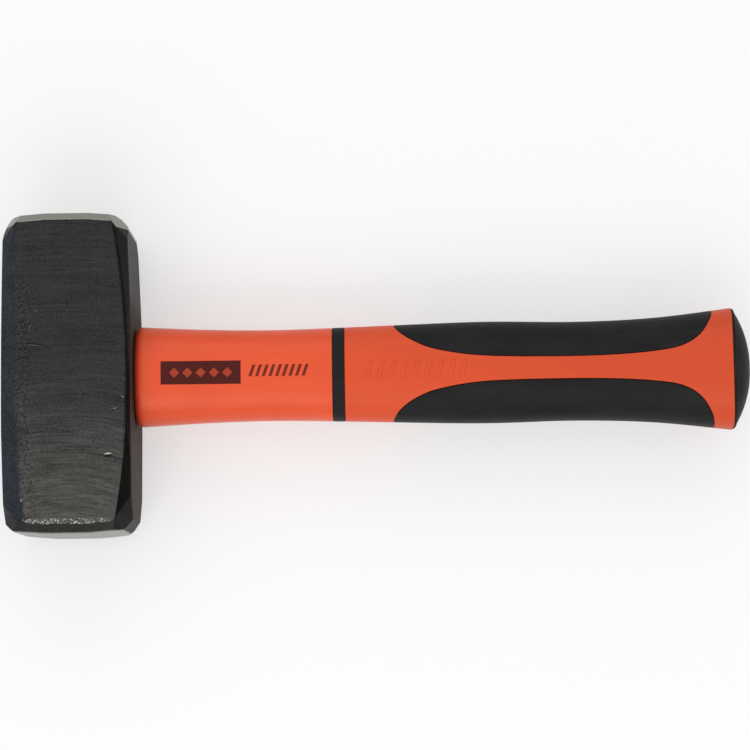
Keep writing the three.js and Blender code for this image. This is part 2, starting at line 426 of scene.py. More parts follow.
class Recipe:
    """The nodes of one material or world. Lengths in it are millimetres."""

    def __init__(self, name, blocks=None):
        self.block = (bpy.data.materials if blocks is None else blocks).new(name)
        self.block.use_nodes = True
        self.tree = self.block.node_tree
        self.tree.nodes.clear()
        self.object_space = self.node("TexCoord", output="Object")

    def node(self, kind, settings=None, inputs=None, output=0):
        """Adds a node, makes its settings, and gives its inputs their values or links."""
        made = self.tree.nodes.new("ShaderNode" + kind)
        for key, value in (settings or {}).items():
            setattr(made, key, value)
        for key, value in (inputs or {}).items():
            if isinstance(value, Signal):
                self.tree.links.new(value.socket, made.inputs[key])
            else:
                made.inputs[key].default_value = value
        return Signal(self, made.outputs[output]) if made.outputs else None

    def place(self, centre=(0, 0, 0), turn=0.0, stretch=(1, 1, 1)):
        """Object coordinates in millimetres, centred and turned about Z, then stretched."""
        moved = self.node(
            "VectorMath", {"operation": "SUBTRACT"}, {0: self.object_space, 1: tuple(centre)}
        )
        scale = tuple(1000 / part for part in stretch)
        if not turn:
            return self.node("Mapping", {}, {"Vector": moved, "Scale": scale})
        turned = self.node("Mapping", {}, {"Vector": moved, "Rotation": (0, 0, -turn)})
        return self.node("Mapping", {}, {"Vector": turned, "Scale": scale})

    def parts(self, vector):
        split = self.node("SeparateXYZ", {}, {0: vector}).socket.node
        return [Signal(self, output) for output in split.outputs]

    def vector(self, x, y, z):
        return self.node("CombineXYZ", {}, {0: x, 1: y, 2: z})

    def noise(self, vector, size=1.0, detail=2.0, roughness=0.5):
        """Cloudy noise about 0, from -1 to 1, with features of the size."""
        inputs = {"Vector": vector, "Scale": 1 / size, "Detail": detail, "Roughness": roughness}
        return self.node("TexNoise", {"noise_dimensions": "3D"}, inputs) * 2 - 1

    def spots(self, vector, size, radius, share):
        """Round spots on a random few of the cells: 1 inside, 0 outside."""
        inputs = {"Vector": vector, "Scale": 1 / size, "Randomness": 1.0}
        cells = self.node("TexVoronoi", {"feature": "F1"}, inputs)
        tone = self.node("TexVoronoi", {"feature": "F1"}, inputs, output="Color")
        chosen = self.parts(tone)[0].ramp(share + 0.01, share - 0.01)
        return cells.ramp(radius, radius * 0.5) * chosen

    def mix(self, factor, a, b):
        """Colour a where the factor is 0 and colour b where it is 1."""
        inputs = {"Factor": factor, 6: self.colour(a), 7: self.colour(b)}
        return self.node("Mix", {"data_type": "RGBA", "clamp_factor": True}, inputs, output=2)

    def colour(self, value):
        if isinstance(value, Signal):
            return value
        return (*tuple(value)[:3], 1.0)

    def bump(self, height, strength=1.0):
        """A normal from a height in millimetres."""
        return self.node("Bump", {}, {"Strength": strength, "Distance": MM, "Height": height})

    def finish(self, **inputs):
        """Ends the recipe in one Principled shader. Underscores in the names are spaces."""
        sockets = {key.replace("_", " "): value for key, value in inputs.items()}
        shader = self.node("BsdfPrincipled", {}, sockets)
        self.node("OutputMaterial", {}, {"Surface": shader})
        return self.block


# ---- Materials ----

HALF_X, HALF_Y, HALF_Z = (part / 2 / MM for part in HEAD_SIZE)
FACET_SIDE = (2.2, 6.0)  # the facets' width on the side faces, at the middle and at the ends
FAR_FACET_WIDENING = (0.3, 3.9)  # how much wider the far facets get towards +Y and towards -Y

# Corners cut straight in plan: side in X, side in Y, cut along X, cut along Y, and the cut's bulge.
CORNER_CUTS = [
    (-1, -1, 5.2, 4.4, 0.25),
    (1, -1, 5.2, 5.2, 0.55),
]
# Corners rounded in plan: side in X, side in Y and radius.
CORNER_ROUNDS = [(-1, 1, 7.4), (1, 1, 9.4)]
FACE_SQUARENESS = 0.5  # corner planes that face an end more than this share its chamfer
# Where the sides run in a little: side in X, side in Y, degrees, and the y where it starts.
SIDE_DRAFTS = [(1, 1, 2.2, 16), (-1, -1, 1.2, 20)]
FACE_CROWN = 190.0  # radius of the striking faces' slight crown, seen in plan
CROWN_TURNS = (-4.5, 0, 4.5)  # in degrees

BRIGHT_LIMIT = 50.2  # how far from the middle the bright chamfer's finish begins
DARK_LIMIT = 48.4  # and the dark chamfer's
FAR_AWAY = 100  # added to a depth that doesn't count
HEAD_SPECULAR = 0.1
PLASTIC_SPECULAR = 0.18
RUBBER_SPECULAR = 0.1
BARE_WORN = (0.75, 0.75, 0.72)
GROUND_DARK = (0.22, 0.215, 0.195)
PIT_AND_SHADE_BLACK = (0.001, 0.001, 0.001)
GRIND_DUST_AND_SHEEN = ((0.125, 0.125, 0.125), (0.132, 0.125, 0.108))  # at the +Y end and at the -Y end, mixed in for the grinding marks and for a painted sheen that grows towards -Y
# Painted reflection: the far facets' bluish tone stands for the bluish surroundings they reflect.
FACET_REFLECTED_BLUES = ((0.010, 0.012, 0.0165), (0.036, 0.041, 0.052))
FACET_BLACKS = ((0.0018, 0.0019, 0.0018), (0.0145, 0.0135, 0.0125))  # at -Y and at +Y; the handle-side facets' darker black is a painted shade for the dark surroundings they reflect
SIDE_REFLECTED_BROWNS = ((0.05, 0.040, 0.029), (0.092, 0.077, 0.058))  # at +Y and at -Y: a painted reflection of the orange handle and the surroundings on the black side faces
RIM_BLACKS = ((0.004, 0.004, 0.0037), (0.012, 0.012, 0.0112))

# Marks on the upper cheek: centre, angle in degrees, half length, half width, and tone, which is
# above 0 for bare metal and below 0 for a dark pit. A dark mark set just beside a bright one is
# that nick's painted shade, as in the crescent nick.
NICKS = [
    ((-10.2, 9.6), -5, 5.2, 0.2, -0.8),
    ((-10.4, 9.1), -5, 4.0, 0.12, 0.35),
    ((0.8, 23.7), -58, 1.3, 0.2, -0.7),
    ((-10.0, 21.0), -45, 1.0, 0.18, 0.4),
    ((-12.1, 15.5), 60, 1.6, 0.16, 0.4),
    ((6.4, -8.1), 40, 0.8, 0.25, -0.8),
    ((9.8, -23.9), 70, 0.8, 0.28, -0.8),
    ((14.6, -28.3), 4, 1.8, 0.38, 1.0),
    ((14.7, -29.1), 4, 1.8, 0.4, -1.0),
    ((19.6, -9.0), -30, 1.0, 0.2, 0.6),
    ((17.0, -12.9), 20, 0.9, 0.22, 0.6),
    ((16.6, -13.5), 20, 0.8, 0.22, -0.8),
    ((20.0, -14.4), -20, 0.8, 0.2, -0.8),
    ((-14.9, -43.9), 60, 0.9, 0.3, 0.8),
    ((-16.4, -50.2), -35, 2.2, 0.9, -1.0),
]


def facet_leg(side_x, y, sizes):
    """The facet's width on the cheek in millimetres. y is in millimetres from the head's middle."""
    share = (y / HALF_Y) ** 2
    if side_x > 0:
        return (sizes.facet_middle + (sizes.facet_end - sizes.facet_middle) * share) / MM
    return sizes.far_facet / MM + FAR_FACET_WIDENING[0 if y > 0 else 1] * share


def plan_planes():
    """The cuts seen in plan, as (normal x, normal y, distance) in millimetres about the head's middle."""
    planes = []
    for side_x, side_y, cut_x, cut_y, bulge in CORNER_CUTS:
        start = Vector((side_x * HALF_X, side_y * (HALF_Y - cut_y)))
        end = Vector((side_x * (HALF_X - cut_x), side_y * HALF_Y))
        outward = Vector((side_x * cut_y, side_y * cut_x)).normalized()
        middle = (start + end) / 2 + outward * bulge
        for a, b in ((start, middle), (middle, end)):
            along = b - a
            normal = Vector((along.y, -along.x)).normalized()
            if normal.dot(outward) < 0:
                normal.negate()
            planes.append((normal.x, normal.y, normal.dot(a)))
    for side_x, side_y, radius in CORNER_ROUNDS:
        for degrees in range(15, 90, 15):
            turn = math.radians(degrees)
            nx, ny = math.cos(turn), math.sin(turn)
            reach = nx * (HALF_X - radius) + ny * (HALF_Y - radius) + radius
            planes.append((side_x * nx, side_y * ny, reach))
    for side_x, side_y, degrees, start in SIDE_DRAFTS:
        turn = math.radians(degrees)
        reach = math.cos(turn) * HALF_X + math.sin(turn) * start
        planes.append((side_x * math.cos(turn), side_y * math.sin(turn), reach))
    for side_y in (-1, 1):
        for degrees in CROWN_TURNS:
            turn = math.radians(degrees)
            reach = math.cos(turn) * (HALF_Y - FACE_CROWN) + FACE_CROWN
            planes.append((math.sin(turn), side_y * math.cos(turn), reach))
    return planes


def depth_from_end(x, y, side_y, squareness):
    """How deep a point lies under one striking face and those corner cuts that face its way."""
    depth = None
    for nx, ny, reach in plan_planes():
        if ny * side_y > squareness:
            under = reach - (x * nx + y * ny)
            depth = under if depth is None else depth.least(under)
    return depth


def nick_marks(recipe, bright):
    """All the bright or all the dark marks together, from 0 to 1."""
    total = None
    for (x, y), angle, half_length, half_width, tone in NICKS:
        if (tone > 0) != bright:
            continue
        centre = HEAD_MIDDLE + Vector((x, y, 0)) * MM
        along, across, _ = recipe.parts(recipe.place(centre, math.radians(angle)))
        bent = across + along**2 * (0.16 / half_length)
        inside = (abs(bent) / half_width + abs(along) / half_length).ramp(1.1, 0.5) * abs(tone)
        total = inside if total is None else total.most(inside)
    return total


def facet_inset(x, y, side_x, sizes):
    """How far a point is from a facet's edge on the cheek: above 0 on the cheek, below 0 on the facet."""
    middle, plus_y, minus_y = (facet_leg(side_x, along, sizes) for along in (0, HALF_Y, -HALF_Y))
    share = (y / HALF_Y) ** 2
    widening = (plus_y - middle) + (minus_y - plus_y) * y.ramp(0.01, -0.01)
    return (HALF_X - middle) - share * widening - x * side_x


def depth_from_skin(x, y, height, sizes):
    """How deep a point near a striking face lies under the cheeks and the facets."""
    depth = HALF_Z - height
    for side_x in (-1, 1):
        for side_y in (-1, 1):
            leg = facet_leg(side_x, side_y * HALF_Y, sizes)
            slope = math.hypot(leg, FACET_SIDE[1])
            reach = (HALF_X * FACET_SIDE[1] + (HALF_Z - FACET_SIDE[1]) * leg) / slope
            under = reach - x * (side_x * FACET_SIDE[1] / slope) - height * (leg / slope)
            elsewhere = y.ramp(side_y * 0.01, -side_y * 0.01) * FAR_AWAY
            depth = depth.least(under + elsewhere)
    return depth


def skin(depth):
    """The outermost half millimetre, from a depth under the surface."""
    return depth.ramp(0.5, 0.3)


def forged_steel(colours, sizes):
    """Black finish over a ground forging, with bare ground steel at the striking ends."""
    recipe = Recipe("forged_steel")
    place = recipe.place(HEAD_MIDDLE)
    x, y, z = recipe.parts(place)
    height = abs(z)
    ragged = recipe.noise(place, size=0.9, detail=3)
    on_cheek = height.ramp(HALF_Z - 0.5, HALF_Z - 0.15)
    from_right = facet_inset(x, y, 1, sizes)
    from_left = facet_inset(x, y, -1, sizes)

    # Bare steel: the striking faces, the +Y corners, and the chamfer round the +Y face.
    chamfer = sizes.bright_chamfer / MM
    plus_end = depth_from_end(x, y, 1, 0.2)
    plus_face = depth_from_end(x, y, 1, FACE_SQUARENESS)
    minus_face = depth_from_end(x, y, -1, 0.98)
    depth_skin = depth_from_skin(x, y, height, sizes)
    rim = (plus_face + depth_skin + ragged * 0.14).ramp(chamfer + 0.3, chamfer + 0.1)
    rim = rim.least((y + x * 0.03 + ragged * 0.2).ramp(BRIGHT_LIMIT, BRIGHT_LIMIT + 0.3))
    ground = skin(plus_end + ragged * 0.12).most(skin(minus_face + ragged * 0.12)).most(rim)

    # Grinding marks in shallow arcs across the cheeks, strongest at the -Y end, where their strength is
    # partly a painted sheen.
    sweep_x, sweep_y, _ = recipe.parts(recipe.place(HEAD_MIDDLE + Vector((-1, -100, 0)) * MM))
    radius = (sweep_x**2 + sweep_y**2) ** 0.5
    swing = recipe.node("Math", {"operation": "ARCTAN2"}, {0: sweep_x, 1: sweep_y})
    fine = recipe.noise(recipe.vector(radius / 0.55, swing * 7, z / 9), detail=3, roughness=0.7)
    coarse = recipe.noise(recipe.vector(radius / 1.9, swing * 4, z / 9), detail=2)
    grit = recipe.noise(place, size=0.8, detail=4, roughness=0.8)
    mottle = recipe.noise(place, size=9, detail=4, roughness=0.65)
    sheen_and_marks_end = y.ramp(8, -56)
    arcs = (fine * 0.85 + coarse * 0.28) * (sheen_and_marks_end * 0.7 + 0.5)
    texture = arcs * 1.8 + grit * 1.25 + mottle * 0.35

    # Pits, flecks, scratches and chips.
    flecked = abs(from_left - 2.6 + mottle * 1.5).ramp(4.2, 0.8) * y.ramp(-52, -44) * y.ramp(40, 26)
    flecks = recipe.noise(place, size=0.75, detail=4, roughness=0.8)
    light_flecks, dark_flecks = (flecks.ramp(side * 0.05, side * 0.3) * flecked for side in (1, -1))
    scored = recipe.noise(recipe.place(HEAD_MIDDLE, stretch=(7, 0.5, 7)), detail=3, roughness=0.6)
    scores = scored.ramp(0.15, 0.4) * y.ramp(24, 42) * on_cheek
    low_edge = abs(y + (HALF_Y - sizes.dark_chamfer / MM - 0.5) + ragged * 0.5).ramp(1.5, 0.3) * on_cheek
    crumbs = recipe.noise(place, size=0.75, detail=4, roughness=0.8)
    span = (x + 17).ramp(0, 2) * (x - 17).ramp(0, -4)
    chips = crumbs.ramp(-0.05, 0.2) * low_edge.ramp(0.1, 0.5) * span * (x * -0.014 + 0.85)
    on_top = z.ramp(HALF_Z - 1.2, HALF_Z - 0.8)
    # The dark marks include the painted shade on one side of the bright nicks.
    nicks, gouges_and_nick_shade = (nick_marks(recipe, bright) * on_top for bright in (True, False))
    pits = recipe.spots(place, 2.6, 0.11, 0.45) * on_cheek
    # A groove along the handle-side facets' edge, with a painted shadow line in it towards -Y.
    edge_line = abs(from_right - 0.2 + ragged * 0.5).ramp(0.75, 0.25) * y.ramp(-34, -8)
    sparks = abs(from_right - 0.5 + ragged * 0.3).ramp(0.35, 0.1) * crumbs.ramp(0.25, 0.5) * on_cheek
    worn = chips.most(nicks * (grit * 0.4 + 0.8)).most(sparks * 0.35).most(light_flecks * 0.12)
    bare = ground.most(worn)

    # Colours.
    contrast = 1.5 - sheen_and_marks_end * 0.75
    # Painted sheen: the cheek's black is made lighter towards the -Y end.
    lightness = (sheen_and_marks_end * 0.36 + 0.14) * (texture * contrast + 1).most(0.05)
    dust = recipe.mix(sheen_and_marks_end, *GRIND_DUST_AND_SHEEN)
    cheek = recipe.mix(lightness, colours.head_black, dust)
    # Painted reflection: a bluish tone on the facets away from the handle.
    facet = recipe.mix(mottle * 0.5 + grit * 1.7 + 0.45, *FACET_REFLECTED_BLUES)
    left = recipe.mix((from_left + mottle * 0.9 + grit * 0.6).ramp(1.0, -0.8), cheek, facet)
    # Painted shade: the handle-side facets are made darker, most of all towards -Y.
    right = recipe.mix(from_right.ramp(0.2, -0.2), left, recipe.mix(y.ramp(-6, 10), *FACET_BLACKS))
    dark_chamfer = sizes.dark_chamfer / MM
    minus_end = depth_from_end(x, y, -1, FACE_SQUARENESS)
    low_rim = (minus_end + depth_skin).ramp(dark_chamfer + 0.2, dark_chamfer - 0.1)
    low_rim = low_rim.least((y + ragged * 0.2).ramp(-DARK_LIMIT, -DARK_LIMIT - 0.3)).most(skin(minus_end))
    chamfered = recipe.mix(low_rim, right, recipe.mix(grit + 0.5, *RIM_BLACKS))
    # Painted reflection: the side faces, seen edge-on, are painted brown, lighter towards -Y.
    side = abs(x).ramp(HALF_X - 0.5, HALF_X - 0.1)
    reflected_brown = recipe.mix(y.ramp(12, -30), *SIDE_REFLECTED_BROWNS)
    with_reflected_brown = recipe.mix(side * (mottle * 0.3 + 0.7), chamfered, reflected_brown)
    # Dark marks made near black: real pits and gouges, with the painted shade of nicks and of the facet
    # edge's line.
    marked = gouges_and_nick_shade.most(pits * 0.7).most(edge_line * 0.9).most(dark_flecks * 0.8).most(scores * 0.55)
    pitted_and_shaded = recipe.mix(marked, with_reflected_brown, PIT_AND_SHADE_BLACK)
    ground_tone = recipe.mix((ragged + arcs) * 0.3 + 0.35, colours.ground_steel, GROUND_DARK)
    steel = recipe.mix(worn, ground_tone, BARE_WORN)
    rough_black = texture * 0.05 + side * 0.2 + 0.5
    rough_steel = ragged * 0.07 + 0.4
    roughness = rough_black + (rough_steel - rough_black) * bare
    relief = texture * 0.03 + mottle * 0.03 + nicks * 0.12 - gouges_and_nick_shade * 0.3 - marked * 0.1 - chips * 0.1
    return recipe.finish(
        Base_Color=recipe.mix(bare, pitted_and_shaded, steel),
        Metallic=bare,
        Roughness=roughness.least(0.75).most(0.2),
        Normal=recipe.bump(relief, 0.8),
        Specular_IOR_Level=HEAD_SPECULAR,
    )


SLEEVE_PALE = (0.88, 0.13, 0.045)
SLEEVE_SHADE = (0.42, 0.03, 0.012)  # painted shade where the sleeve meets the head
GRIP_PALE = (0.80, 0.12, 0.04)
RUBBER_GREY = (0.0165, 0.0165, 0.0168)
RUBBER_DUST = (0.04, 0.039, 0.038)
FIBRE_TONES = ((0.5, 0.43, 0.24), (0.68, 0.62, 0.42))
FIBRE_GAPS = (0.3, 0.25, 0.12)
RESIN_TONES = ((0.018, 0.014, 0.011), (0.04, 0.03, 0.022))
FLOOR_TONES = ((0.45, 0.45, 0.45), (0.44, 0.44, 0.44))
FLOOR_GLOW = 0.48


def moulded_plastic(name, grain, orange):
    """Hard plastic with faint flow marks and a fine moulded skin."""
    recipe = Recipe(name)
    place = recipe.place(ON_AXIS)
    flow = recipe.noise(recipe.place(ON_AXIS, stretch=(26, 7, 7)), detail=3, roughness=0.55)
    grained = recipe.noise(place, size=grain, detail=2)
    scuffs = recipe.noise(recipe.place(ON_AXIS, stretch=(5, 0.5, 0.5)), detail=4, roughness=0.7)
    deep = tuple(part * 0.8 for part in orange)
    base = recipe.mix(flow.shared_out().ramp(0.1, 0.9) * 0.6, orange, deep)
    return recipe, place, flow, grained, scuffs.ramp(0.35, 0.75), base, deep


PANEL_CENTRE = Vector((45.6, 0.0, 0.0)) * MM
PANEL_HALF = (13.75, 4.0)
PRINT_EDGE = 0.12  # how far the print's edges fade
PANEL_DIAMONDS = 5
DIAMOND_HALF = 1.75
BARS_CENTRE = Vector((72.5, 0.5, 0.0)) * MM
BARS_HALF = (9.2, 2.0)
BARS_PITCH = 2.3
BARS_LEAN = 0.35  # along for each 1 across


def printed_panel(recipe, on_top):
    """The dark printed panel on the sleeve, with a plain row of diamonds left clear in it."""
    x, y, _ = recipe.parts(recipe.place(PANEL_CENTRE))
    half_x, half_y = PANEL_HALF
    panel = abs(x).ramp(half_x + PRINT_EDGE, half_x) * abs(y).ramp(half_y + PRINT_EDGE, half_y)
    pitch = 2 * half_x / (PANEL_DIAMONDS + 1)
    row_half = pitch * PANEL_DIAMONDS / 2
    within = abs(x).ramp(row_half + 0.1, row_half - 0.1)
    diamonds = ((x.repeat(pitch) + abs(y)) / DIAMOND_HALF).ramp(1.05, 0.95) * within
    return panel * on_top, diamonds * panel * on_top


def printed_bars(recipe, on_top):
    """A short row of slanted bars printed beside the panel."""
    x, y, _ = recipe.parts(recipe.place(BARS_CENTRE))
    leaned = x - y * BARS_LEAN
    bars = leaned.repeat(BARS_PITCH).ramp(0.62, 0.5)
    bars = bars * abs(leaned).ramp(BARS_HALF[0] + 0.7, BARS_HALF[0] + 0.6)
    return bars * abs(y).ramp(BARS_HALF[1] + 0.1, BARS_HALF[1]) * on_top


def hard_orange(colours):
    """The sleeve's plastic, with its printing."""
    parts = moulded_plastic("hard_orange", 0.5, colours.sleeve_orange)
    recipe, place, flow, grained, scuffs, base, _ = parts
    x, _, z = recipe.parts(place)
    on_top = z.ramp(2, 4)
    panel, diamonds = printed_panel(recipe, on_top)
    bars = printed_bars(recipe, on_top)
    shaded = recipe.mix(x.ramp(26, 22.6) * 0.75, base, SLEEVE_SHADE)
    rubbed = recipe.mix(scuffs * 0.22, shaded, SLEEVE_PALE)
    inked = recipe.mix((panel - diamonds * 0.42).most(bars * 0.86), rubbed, colours.print_ink)
    relief = flow * 0.02 + grained * 0.006 + scuffs * 0.008
    return recipe.finish(
        Base_Color=inked,
        Roughness=(flow * 0.05 + grained * 0.04 + scuffs * 0.1 + 0.36).most(0.15),
        Normal=recipe.bump(relief),
        Specular_IOR_Level=PLASTIC_SPECULAR,
    )


def grip_orange(colours):
    """The grip's plastic: a little duller than the sleeve's, with fine scratches."""
    parts = moulded_plastic("grip_orange_finish", 0.35, colours.grip_orange)
    recipe, place, flow, grained, scuffs, base, deep = parts
    along = recipe.parts(place)[0]
    # Painted shade: the orange darkens towards the butt.
    shaded_towards_butt = recipe.mix(along.ramp(100, 190) * 0.65, base, deep)
    rubbed = recipe.mix(scuffs * 0.3, shaded_towards_butt, GRIP_PALE)
    relief = flow * 0.012 + grained * 0.008 + scuffs * 0.01
    return recipe.finish(
        Base_Color=rubbed,
        Roughness=(flow * 0.05 + grained * 0.06 + scuffs * 0.08 + 0.47).most(0.2),
        Normal=recipe.bump(relief),
        Specular_IOR_Level=PLASTIC_SPECULAR,
    )


def soft_black(colours):
    """Soft rubbery plastic with a fine grain and a little dust in it."""
    recipe = Recipe("soft_black_finish")
    place = recipe.place(ON_AXIS)
    grain = recipe.noise(place, size=0.22, detail=2)
    cloud = recipe.noise(recipe.place(ON_AXIS, stretch=(16, 6, 6)), detail=4, roughness=0.6)
    dust = recipe.noise(place, size=0.7, detail=3, roughness=0.7).ramp(0.45, 0.8)
    clouded = recipe.mix(cloud.shared_out().ramp(0.2, 0.8), colours.soft_black, RUBBER_GREY)
    dusted = recipe.mix(dust * 0.16, clouded, RUBBER_DUST)
    return recipe.finish(
        Base_Color=dusted,
        Roughness=grain * 0.06 + cloud * 0.06 + 0.56,
        Normal=recipe.bump(grain * 0.02 + cloud * 0.03),
        Specular_IOR_Level=RUBBER_SPECULAR,
    )


def glass_fibre():
    """Pale resin-bound fibres, cut across at the rod's end."""
    recipe = Recipe("glass_fibre")
    strands = recipe.noise(recipe.place(ON_AXIS, stretch=(30, 0.35, 0.35)), detail=2)
    bundles = recipe.noise(recipe.place(ON_AXIS, stretch=(30, 2, 2)), detail=3)
    bundled = recipe.mix(bundles.shared_out().ramp(0.2, 0.8), *FIBRE_TONES)
    return recipe.finish(
        Base_Color=recipe.mix(strands.ramp(0.1, 0.5) * 0.5, bundled, FIBRE_GAPS),
        Roughness=strands * 0.1 + 0.5,
        Normal=recipe.bump(strands * 0.04 + bundles * 0.03),
    )


def cast_resin():
    """Dark resin poured into the eye, with a few small bubbles."""
    recipe = Recipe("cast_resin")
    place = recipe.place(ON_AXIS)
    swirl = recipe.noise(place, size=3, detail=3)
    bubbles = recipe.spots(place, 1.6, 0.2, 0.3)
    return recipe.finish(
        Base_Color=recipe.mix(swirl.shared_out().ramp(0.2, 0.8), *RESIN_TONES),
        Roughness=swirl * 0.05 + bubbles * 0.2 + 0.22,
        Normal=recipe.bump(swirl * 0.06 - bubbles * 0.1),
    )


def floor_paper():
    """A plain pale studio floor."""
    recipe = Recipe("floor_paper")
    fibre = recipe.noise(recipe.place(), size=4, detail=3)
    return recipe.finish(
        Base_Color=recipe.mix(fibre.shared_out() * 0.3, *FLOOR_TONES),
        Roughness=fibre * 0.03 + 0.85,
        Specular_IOR_Level=0.0,
        Emission_Color=(1, 1, 1, 1),
        Emission_Strength=FLOOR_GLOW,
    )


def shared(maker, colours):
    """A finish that several pieces share, made only once."""
    return bpy.data.materials.get(maker.__name__ + "_finish") or maker(colours)


# ---- The head, and what is in its eye ----

# The eye's half width and half thickness, at its mouths and at its middle.
EYE_MOUTH = (15.0 * MM, 11.0 * MM)
EYE_WAIST = (13.5 * MM, 9.5 * MM)
EYE_COUNTERSINK = 0.8 * MM
EYE_SIDES = 80
ROD_EDGE = 0.3 * MM  # rounding of the rod's ends
RESIN_RISE = 0.25 * MM  # how far the resin climbs the rod and the eye's wall
SLICES = 32
FIRST_CUT = 3 * MM  # the long edges' first chamfer, before it is widened
CLOSE = 0.05 * MM
SMALLEST_FACE = 0.25 * MM  # the cuts' corners that stand closer than this are merged
HEAD_EDGE = 0.3 * MM  # rounding of the head's edges


def slice_block(piece):
    """Cuts the block across into slices, so that its long edges can be shaped."""
    edit_mode()
    for y in slice_places()[1:-1]:
        select_all()
        bpy.ops.mesh.bisect(plane_co=(0, y, 0), plane_no=(0, 1, 0))
    object_mode()


def chamfer_long_edges(piece):
    sides = faces_by_edge(piece)

    def is_long_edge(edge):
        a, b = sides[edge.key]
        return min(max(abs(a.z), abs(b.z)), max(abs(a.x), abs(b.x))) > 0.9

    select(piece, "EDGE", is_long_edge)
    bpy.ops.mesh.bevel(offset_type="OFFSET", offset=FIRST_CUT, segments=1, affect="EDGES")
    object_mode()


def slice_places():
    return [HEAD_LOW.y + HEAD_SIZE.y * i / SLICES for i in range(SLICES + 1)]


def on_cheek(place, y):
    """Whether a place is on one of the cheeks, in the slice at y."""
    return abs(place.y - y) < CLOSE and abs(abs(place.z - AXIS_Z) - HEAD_SIZE.z / 2) < CLOSE


def on_side(place, y):
    """Whether a place is on one of the sides that the eye comes out of, in the slice at y."""
    return abs(place.y - y) < CLOSE and abs(abs(place.x) - HEAD_SIZE.x / 2) < CLOSE


def widen_facets(piece, sizes):
    """Moves the facets' edges, slice by slice, so that the facets widen towards the ends."""
    half_x, half_z = HEAD_SIZE.x / 2, HEAD_SIZE.z / 2
    for y in slice_places():
        share = (2 * y / HEAD_SIZE.y) ** 2
        leg_z = (FACET_SIDE[0] + (FACET_SIDE[1] - FACET_SIDE[0]) * share) * MM
        for side_x in (-1, 1):
            leg_x = facet_leg(side_x, y / MM, sizes) * MM
            select(piece, "VERT", lambda point: on_cheek(point.co, y) and point.co.x * side_x > 0)
            wider = (half_x - leg_x) / (half_x - FIRST_CUT)
            bpy.ops.transform.resize(value=(wider, 1, 1), center_override=(0, y, AXIS_Z))
            object_mode()
        select(piece, "VERT", lambda point: on_side(point.co, y))
        taller = (half_z - leg_z) / (half_z - FIRST_CUT)
        bpy.ops.transform.resize(value=(1, 1, taller), center_override=(0, y, AXIS_Z))
        object_mode()


def cut_away(normal, distance):
    """Cuts off what lies past a plane, in millimetres about the head's middle. The block is convex,
    so the skin round the points that are left closes it again."""
    select_all()
    bpy.ops.mesh.bisect(
        plane_co=HEAD_MIDDLE + normal * distance * MM,
        plane_no=normal,
        clear_outer=True,
        threshold=0.001 * MM,
    )
    select_all()
    bpy.ops.mesh.convex_hull(use_existing_faces=False, join_triangles=False)


def cut_corners_and_chamfers(sizes):
    """Cuts the corners and the crowns, and then the chamfers round both striking faces."""
    edit_mode()
    planes = plan_planes()
    for nx, ny, distance in planes:
        cut_away(Vector((nx, ny, 0)), distance)
    for nx, ny, distance in planes:
        if abs(ny) < FACE_SQUARENESS:
            continue
        chamfer = (sizes.bright_chamfer if ny > 0 else sizes.dark_chamfer) / MM
        tops = [(Vector((0, 0, side_z)), HALF_Z) for side_z in (-1, 1)]
        for side_x in (-1, 1):
            leg = facet_leg(side_x, math.copysign(HALF_Y, ny), sizes)
            facet = Vector((FACET_SIDE[1], 0, leg)).normalized()
            reach = facet.x * HALF_X + facet.z * (HALF_Z - FACET_SIDE[1])
            tops += [(Vector((facet.x * side_x, 0, facet.z * side_z)), reach) for side_z in (-1, 1)]
        for top, reach in tops:
            both = Vector((nx, ny, 0)) + top
            if both.length > 1:
                cut_away(both.normalized(), (distance + reach - chamfer) / both.length)
    select_all()
    bpy.ops.mesh.remove_doubles(threshold=SMALLEST_FACE)
    bpy.ops.mesh.convex_hull(use_existing_faces=False, join_triangles=False)
    bpy.ops.mesh.dissolve_limited(angle_limit=math.radians(0.5))
    object_mode()


def let_edges_wander(piece, sizes):
    """Makes the edges of the handle-side facets a little uneven, as grinding by hand leaves them."""
    for y in slice_places():
        edge = HEAD_SIZE.x / 2 - facet_leg(1, y / MM, sizes) * MM
        select(piece, "VERT", lambda point: on_cheek(point.co, y) and abs(point.co.x - edge) < CLOSE)
        wander = 0.16 * math.sin(y / MM * 0.61) + 0.12 * math.sin(y / MM * 1.43 + 1)
        bpy.ops.transform.translate(value=(wander * MM, 0, 0))
        object_mode()


def between(a, b, share):
    """Half sizes, or a point, a share of the way from one to another."""
    return tuple(one + (other - one) * share for one, other in zip(a, b))


def eye_half(x):
    """The eye's half sizes, which are least in the middle."""
    return between(EYE_WAIST, EYE_MOUTH, (x / (HEAD_SIZE.x / 2)) ** 2)


def bore_eye(piece):
    """Cuts the oval eye through the head, with a countersink at each mouth."""
    mouth = HEAD_SIZE.x / 2
    inner = mouth - EYE_COUNTERSINK
    places = [inner * (i / 5 - 1) for i in range(11)]
    rings = [(x, eye_half(x)) for x in places]
    wide = grown(eye_half(inner), 2 * EYE_COUNTERSINK)
    rings = [(-mouth - EYE_COUNTERSINK, wide), *rings, (mouth + EYE_COUNTERSINK, wide)]
    cutter = turned_piece("eye_cutter", rings, closed_loop=False, sides=EYE_SIDES)
    cut_out(piece, cutter)


